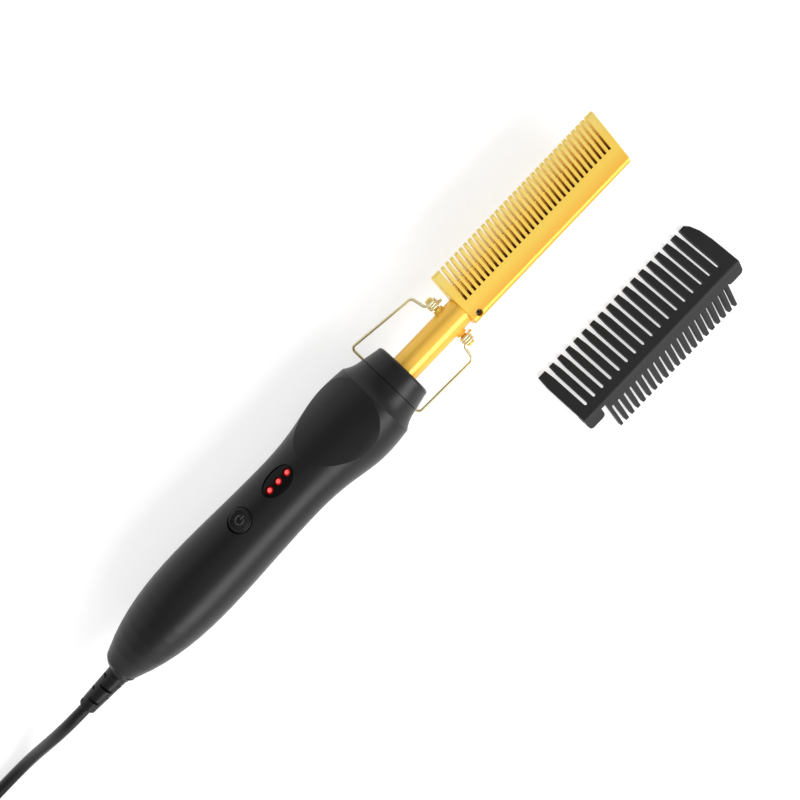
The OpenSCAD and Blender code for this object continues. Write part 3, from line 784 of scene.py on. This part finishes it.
# ---- Comb and barrel -----------------------------------------------------------
@dataclass(frozen=True)
class GoldComb:
    """Comb head with a thick back, level upper face and webbed slots, its tube and its sunk screw."""

    rear: float = 32.9
    length: float = 89.5
    front_slant: float = 3.5
    back_r: float = 6.2
    back_out: float = 7.7
    edge_r: float = 2.4
    tip_r: float = 1.2
    tip_out: float = 18.1
    arc_steps: tuple[int, int, int] = (8, 12, 24)  # tip, upper edge, back
    end_bevel: float = 0.35
    slots: int = 33
    slot_first: float = 3.85
    slot_pitch: float = 2.562
    slot_width: float = 1.2
    slot_root: float = 2.0
    slot_lean: float = 3.0
    web: float = 4.4
    web_end: float = 9.3
    tang_r: float = 3.0
    tang_spare: float = 0.5
    pocket: Span = (2.55, 2.35)  # half its width and half its height
    pocket_spare: float = 0.5
    barrel_r: float = 6.2
    stem_r: float = 5.7
    stem_bevel: float = 0.2
    stem_end: float = -2.6
    step_run: float = 0.4
    rim_bevel: float = 0.25
    bore_r: float = 4.7
    gap: float = 0.02  # between pieces that touch
    bore_spare: float = 0.05
    cutter_half: float = 10.0
    cutter_out: float = 30.0
    cutter_lead: float = 1.0
    bar_sides: int = 48
    peg_sides: int = 32
    screw_at: Span = (36.8, -2.35)  # along the barrel and towards the teeth
    screw_tilt: float = 26.0
    screw_r: float = 1.4
    screw_heights: Span = (2.3, 5.6)
    screw_gap: float = 0.05
    screw_hole: Span = (2.0, 9.0)
    socket_r: float = 0.6
    socket_sides: int = 6
    socket_heights: Span = (4.6, 7.0)

    def _back_and_tip(self) -> Span:
        """Where the centres of the back's and the tip's arcs lie towards the teeth."""
        return self.back_r - self.back_out, self.tip_out - self.tip_r

    def _section(self) -> list[Span]:
        """Section of the head.

        Returns:
            Its outline, towards the teeth and up.
        """
        back_y, tip_y = self._back_and_tip()
        rise, edge = self.back_r - self.tip_r, (self.edge_r - self.back_out, self.back_r - self.edge_r)
        taper = math.degrees(math.atan2(rise, tip_y - back_y))
        tip_steps, edge_steps, back_steps = self.arc_steps
        return (arc((tip_y, rise), self.tip_r, 2 * taper - 90, 90, tip_steps)
                + arc(edge, self.edge_r, 90, 180, edge_steps)
                + arc((back_y, 0.0), self.back_r, 180, 270 + 2 * taper, back_steps))

    def _middle(self, y: float) -> float:
        """Height of the section's middle at y."""
        back_y, tip_y = self._back_and_tip()
        return (y - back_y) * (self.back_r - self.tip_r) / (tip_y - back_y)

    def _blank(self) -> bmesh.types.BMesh:
        """The head before it is carved.

        Returns:
            The solid form.
        """
        outer = self._section()
        inner = [tuple(math.copysign(max(abs(v) - self.end_bevel, 0.0), v) for v in point)
                 for point in outer]
        loops = []
        for x, section in ((0.0, inner), (self.end_bevel, outer),
                           (self.length - self.end_bevel, outer), (self.length, inner)):
            slant = math.tan(math.radians(self.front_slant)) if x > self.length / 2 else 0.0
            loops.append([put(tool_frame(), self.rear + x + (y + self.back_out) * slant, y, z)
                          for y, z in section])
        return loft(loops)

    def _slot(self, number: int) -> bmesh.types.BMesh:
        """The cutter of one slot, which leaves the web between the upper and the lower face.

        Args:
            number: the slot's number, from the handle.

        Returns:
            The cutter.
        """
        half, root, end = self.web / 2, self.slot_root, self.web_end
        high, out = self.cutter_half, self.cutter_out
        section = [(root, self._middle(root) + half), (end, self._middle(end) + half),
                   (end, self._middle(end) - half), (root, self._middle(root) - half),
                   (root, -high), (out, -high), (out, high), (root, high)]
        x = self.rear + self.slot_first + number * self.slot_pitch
        leaning = Matrix.Rotation(-math.radians(self.slot_lean), 4, "Z") @ ALONG
        return prism(section, (-self.slot_width / 2, self.slot_width / 2),
                     tool_frame() @ Matrix.Translation((x, 0, 0)) @ leaning)

    def _bar(self, end: float, y: float, radius: float) -> bmesh.types.BMesh:
        """A round cutter that enters the head's rear along the barrel, at y, and stops at end."""
        return prism(circle((y, 0.0), radius, self.bar_sides), (self.rear - self.cutter_lead, end),
                     tool_frame() @ ALONG)

    def _peg(self, radius: float, heights: Span, sides: int) -> bmesh.types.BMesh:
        """A round or six-sided peg along the screw's axis.

        Args:
            radius: its radius.
            heights: where it starts and ends over the barrel's axis.
            sides: number of its sides.

        Returns:
            The peg.
        """
        tilt = Matrix.Rotation(math.radians(self.screw_tilt), 4, "X")
        return prism(circle((0.0, 0.0), radius, sides), heights,
                     tool_frame() @ Matrix.Translation((*self.screw_at, 0)) @ tilt)

    def _head(self) -> bpy.types.Mesh:
        """The carved head.

        Returns:
            The mesh.
        """
        tang_y, tang_end = self.screw_at[1], end_of("head_adapter", 1)
        wide, high = self.pocket
        pocket = prism([(tang_y - wide, -high), (tang_y + wide, -high), (tang_y + wide, high),
                        (tang_y - wide, high)],
                       (tang_end, end_of("heater_film", 1) + self.pocket_spare), tool_frame() @ ALONG)
        mesh = to_mesh(self._blank(), "comb")
        mesh = carve(mesh, [self._slot(number) for number in range(self.slots)]
                     + [self._bar(tang_end + self.tang_spare, tang_y, self.tang_r)])
        screw_hole = self._peg(self.screw_r + self.screw_gap, self.screw_hole, self.peg_sides)
        mesh = carve(mesh, [pocket, screw_hole])
        bore_end = end_of("comb_head", 0) + self.bore_spare
        return clean(carve(mesh, [self._bar(bore_end, 0.0, self.bore_r + self.gap)]))

    def _tube(self) -> bpy.types.Mesh:
        """The tube, thinner where it is inside the collar.

        Returns:
            The mesh.
        """
        start, end = end_of("barrel_tube", 0), self.rear - self.gap
        profile = [(self.bore_r, start), (self.stem_r - self.stem_bevel, start),
                   (self.stem_r, start + self.stem_bevel), (self.stem_r, self.stem_end),
                   (self.barrel_r, self.stem_end + self.step_run),
                   (self.barrel_r, self.rear - self.rim_bevel),
                   (self.barrel_r - self.rim_bevel, end), (self.bore_r, end)]
        return to_mesh(lathe(profile, tool_frame() @ ALONG), "tube")

    def _screw(self) -> bpy.types.Mesh:
        """The sunk screw with its socket.

        Returns:
            The mesh.
        """
        blank = to_mesh(self._peg(self.screw_r, self.screw_heights, self.peg_sides), "screw")
        return clean(carve(blank, [self._peg(self.socket_r, self.socket_heights, self.socket_sides)]))

    def build(self) -> None:
        """Makes the head, the tube and the screw, each in its node's place."""
        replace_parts(piece("comb", self._head(), Finish.GOLD, "handle"), "comb_head")
        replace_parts(piece("tube", self._tube(), Finish.BARREL, "handle"), "barrel_tube")
        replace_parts(piece("screw", self._screw(), Finish.DARK, "handle"), "head_screw")


# ---- Button --------------------------------------------------------------------
@dataclass(frozen=True)
class ButtonTrim:
    """Raised rim and power sign of the button."""

    button_x: float = -86.4
    cap_top: float = 15.05
    rim_r: float = 3.95
    rim_wire: float = 0.28
    sign_r: float = 1.75
    sign_wire: float = 0.24
    sign_sink: float = 0.18
    sign_gap: float = 32.0  # degrees on each side of the bar
    bar_from: float = 0.55
    bar_past: float = 0.75
    wire_sides: int = 12
    arc_sides: int = 10
    arc_steps: int = 48

    def _add(self, name: str, form: bmesh.types.BMesh, finish: Finish) -> None:
        """Makes a piece on the button."""
        piece(name, to_mesh(form, name, WIRE_CREASE), finish, "button")

    def build(self) -> None:
        """Makes the pieces."""
        face = (tool_frame() @ Matrix.Rotation(-THUMB_TURN, 4, "X")
                @ Matrix.Translation((self.button_x, 0, 0)))
        height = self.cap_top - self.sign_sink
        rim = lathe(circle((self.rim_r, self.cap_top), self.rim_wire, self.wire_sides), face)
        ring = lathe(circle((self.sign_r, height), self.sign_wire, self.arc_sides), face,
                     self.arc_steps, self.sign_gap)
        bar = prism(circle((0.0, height), self.sign_wire, self.wire_sides),
                    (self.bar_from, self.sign_r + self.bar_past), face @ ALONG)
        self._add("button_rim", rim, Finish.BUTTON)
        self._add("power_sign_arc", ring, Finish.SIGN)
        self._add("power_sign_bar", bar, Finish.SIGN)


# ---- CAD nodes that keep their solids ------------------------------------------
class Handle:
    """Shells, collar, and what holds the barrel."""

    def build(self) -> None:
        """Dresses the nodes."""
        dress(Finish.HANDLE, "handle_upper_shell", "handle_lower_shell")
        dress(Finish.COLLAR, "collar_ring")
        dress(Finish.DARK, "shell_screws")
        dress(Finish.INSULATOR, "barrel_bushing")
        dress(Finish.ZINC, "barrel_flange")


class Stand:
    """The head's plug, the studs and the bent wire that turns on them."""

    def build(self) -> None:
        """Dresses the nodes."""
        dress(Finish.GOLD, "head_adapter", "stand_studs")
        dress(Finish.WIRE, "stand_bail")


class Heater:
    """Heater stack in the comb head, with its leads and fuse."""

    def build(self) -> None:
        """Dresses the nodes."""
        dress(Finish.FILM, "heater_film")
        dress(Finish.ELECTRODE, "heater_electrodes")
        dress(Finish.CHIP, "ptc_chips")
        dress(Finish.SLEEVE, "heater_leads")
        dress(Finish.FUSE, "thermal_fuse")


class Controls:
    """Board, switch, button, window and lamps."""

    def build(self) -> None:
        """Dresses the nodes."""
        dress(Finish.BOARD, "circuit_board")
        dress(Finish.ZINC, "board_screws")
        dress(Finish.SWITCH, "tact_switch", "switch_plunger")
        dress(Finish.BUTTON, "power_button")
        dress(Finish.WINDOW, "led_window")
        dress(Finish.LAMP, "status_leds")


class LeadFittings:
    """Relief, clamp, tie and plug of the mains lead."""

    def build(self) -> None:
        """Dresses the nodes."""
        dress(Finish.CORD, "strain_relief", "mains_leads", "plug_body")
        dress(Finish.SWITCH, "cord_clamp")
        dress(Finish.ZINC, "clamp_screws")
        dress(Finish.TIE, "cord_tie")
        dress(Finish.PIN, "plug_pins")


class Guard:
    """The loose clip-on comb."""

    def build(self) -> None:
        """Dresses the node."""
        dress(Finish.GUARD, "comb_guard")


# ---- Mains lead ------------------------------------------------------------
@dataclass(frozen=True)
class MainsLead:
    """Round two-core lead: a loose stretch, a tied coil and a short end into the plug.

    The loose stretch starts at the relief's tip; the coil and the tail are measured from the same place,
    but up from the table.
    """

    radius: float = 2.6
    relief_tip: float = -187.0
    tail_shift: float = 1.5
    rings: tuple[float, ...] = (23.4, 28.6, 33.8, 39.0)
    layer_heights: Span = (3.2, 8.4)
    coil_centre: Span = (-103.0, -39.0)
    loose: tuple[Point, ...] = (
        (0, 0, 0), (-6, 0, 0), (-12, 0, -0.8), (-20, 0, -3.6), (-28, 0, -7.6), (-36, 0, -11.6),
        (-44, 0, -14.4), (-52, 0, -15.6), (-62, 0, -15.6), (-74, 0, -15.6), (-88, 0, -15.6))
    tail: tuple[Point, ...] = (
        (-115, -77.1, 8.4), (-107, -81.7, 7.4), (-99, -86.4, 5.4), (-91, -90.8, 3.9),
        (-82, -94.6, 3.4), (-73, -96.6, 4.6), (-66, -97, 6.5), (-62, -97, 7), (-60, -97, 7))
    entry_angle: float = 90.0
    turn_points: int = 24
    last_points: int = 10
    crossing: float = 0.14  # share of a turn in which the lead moves to the next ring
    smoothness: int = 6

    def _crossed(self, share: float) -> float:
        """How far the lead has moved to the next ring.

        Args:
            share: the share of the turn that is done.

        Returns:
            0 on the turn's own ring, 1 on the next, smooth between.
        """
        t = max(0.0, (share - (1 - self.crossing)) / self.crossing)
        return t * t * (3 - 2 * t)

    def _coil(self) -> list[Vector]:
        """Points of the coil, from the entry tangent to the exit tangent.

        Returns:
            The points: inwards turn by turn on the table, then outwards on top.
        """
        low, high = self.layer_heights
        turns = [(ring, low) for ring in reversed(self.rings)] + [(ring, high) for ring in self.rings]
        points = []
        for number, (ring, level) in enumerate(turns):
            last = number == len(turns) - 1
            next_ring, next_level = turns[number if last else number + 1]
            for k in range(self.last_points + 1 if last else self.turn_points):
                share = k / self.turn_points
                moved = self._crossed(share)
                radius = ring + (next_ring - ring) * moved
                a = math.radians(self.entry_angle) + math.tau * share
                points.append(Vector((self.coil_centre[0] + radius * math.cos(a),
                                      self.coil_centre[1] + radius * math.sin(a),
                                      level + (next_level - level) * moved)))
        return points

    def _curve(self, route: list[Vector]) -> bpy.types.Curve:
        """The lead's round curve.

        Args:
            route: its points, in metres.

        Returns:
            The curve.
        """
        curve = bpy.data.curves.new("mains_lead", "CURVE")
        curve.dimensions = "3D"
        curve.bevel_depth = self.radius * MM
        curve.bevel_resolution = curve.resolution_u = self.smoothness
        curve.use_fill_caps = True
        spline = curve.splines.new("NURBS")
        spline.points.add(len(route) - 1)
        for point, place in zip(spline.points, route):
            point.co = (*place, 1.0)
        spline.order_u = 3
        spline.use_endpoint_u = True
        curve.materials.append(Finish.CORD.material())
        return curve

    def build(self) -> None:
        start = TOOL + Vector((self.relief_tip, -self.tail_shift, 0.0)) * MM
        ground = Vector((start.x, start.y, 0.0))
        route = [start + Vector(p) * MM for p in self.loose]
        route += [ground + Vector(p) * MM for p in (*self._coil(), *self.tail)]
        lead = add_object("mains_lead", self._curve(route))
        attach(lead, "handle")
        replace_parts(lead, "power_cord", "cord_coil")


# ---- Studio and camera -----------------------------------------------------
@dataclass(frozen=True)
class CameraRig:
    """Camera that looks down on the comb, leaning a little towards the teeth."""

    target: Point = (-10.16, -7.44, 0.0)
    distance: float = 300.0
    lean: float = 9.0
    picture_right: Span = (0.69093, -0.72292)  # in the tool's frame, before the lean
    view_angle: float = 0.9915
    sensor: float = 36.0
    reach: Span = (0.01, 10.0)  # metres

    def build(self) -> None:
        """Makes the camera and sets it as the scene's."""
        s, c = math.sin(math.radians(self.lean)), math.cos(math.radians(self.lean))
        x, y = self.picture_right
        right, up, back = Vector((x, y * c, -y * s)), Vector((-y, x * c, -x * s)), Vector((0.0, s, c))
        data = bpy.data.cameras.new("camera")
        data.sensor_fit = "HORIZONTAL"
        data.sensor_width = self.sensor
        data.lens = self.sensor / 2 / math.tan(self.view_angle / 2)
        data.clip_start, data.clip_end = self.reach
        camera = add_object("camera", data)
        place = TOOL + (Vector(self.target) + back * self.distance) * MM
        camera.matrix_world = Matrix.Translation(place) @ Matrix((right, up, back)).transposed().to_4x4()
        bpy.context.scene.camera = camera


@dataclass(frozen=True)
class Softbox:
    """One rectangular lamp aimed at the tool: angles in degrees, lengths in metres, power in watts."""

    name: str
    azimuth: float
    height: float
    distance: float
    size: Span
    power: float
    aim: Point = (-0.02, 0.0, 0.0)

    def build(self) -> None:
        """Makes the lamp."""
        a, e = math.radians(self.azimuth), math.radians(self.height)
        away = Vector((math.cos(a) * math.cos(e), math.sin(a) * math.cos(e), math.sin(e)))
        data = bpy.data.lights.new(self.name, "AREA")
        data.shape = "RECTANGLE"
        data.size, data.size_y = self.size
        data.energy = self.power
        lamp = add_object(self.name, data)
        lamp.location = TOOL + Vector(self.aim) + away * self.distance
        lamp.rotation_euler = away.to_track_quat("Z", "Y").to_euler()


@dataclass(frozen=True)
class Studio:
    """Pale floor, white sky and one softbox."""

    floor_half: float = 3.0  # metres
    horizon: float = 1.0
    middle: float = 0.36
    zenith: float = 0.72
    lower_fade: Span = (0.34, 0.62)  # sines of the heights between which the sky changes
    upper_fade: Span = (0.88, 0.96)
    key: Softbox = Softbox("key_box", -90.0, 42.0, 0.8, (1.4, 0.38), 8.4)

    def _floor(self) -> None:
        """Lays the floor."""
        mesh = bpy.data.meshes.new("floor")
        h = self.floor_half
        mesh.from_pydata([(-h, -h, 0), (h, -h, 0), (h, h, 0), (-h, h, 0)], [], [(0, 1, 2, 3)])
        mesh.materials.append(FloorPaper().make())
        add_object("floor", mesh)

    def _sky(self) -> None:
        """Makes the world: bright around the horizon and overhead, dimmer between."""
        world = bpy.data.worlds.new("sky")
        bpy.context.scene.world = world
        world.use_nodes = True
        bench = Bench(world.node_tree)
        _, _, up = bench.split(bench.add("ShaderNodeTexCoord", out="Generated"))
        background = world.node_tree.nodes["Background"]
        bench.feed(background.inputs["Color"], WHITE)
        bench.feed(background.inputs["Strength"],
                   self.horizon + (self.middle - self.horizon) * up.ramp(*self.lower_fade)
                   + (self.zenith - self.middle) * up.ramp(*self.upper_fade))

    def build(self) -> None:
        """Makes the floor, the world and the lamp."""
        self._floor()
        self._sky()
        self.key.build()


def main() -> None:
    """Builds the scene."""
    logging.basicConfig(level=logging.INFO, format="%(message)s")
    for part in (CameraRig(), MainsLead(), Studio(), Handle(), Stand(), Heater(), Controls(), LeadFittings(),
                 Guard(), GoldComb(), ButtonTrim()):
        part.build()
    bpy.context.scene.view_settings.view_transform = "Standard"


if __name__ == "__main__":
    main()
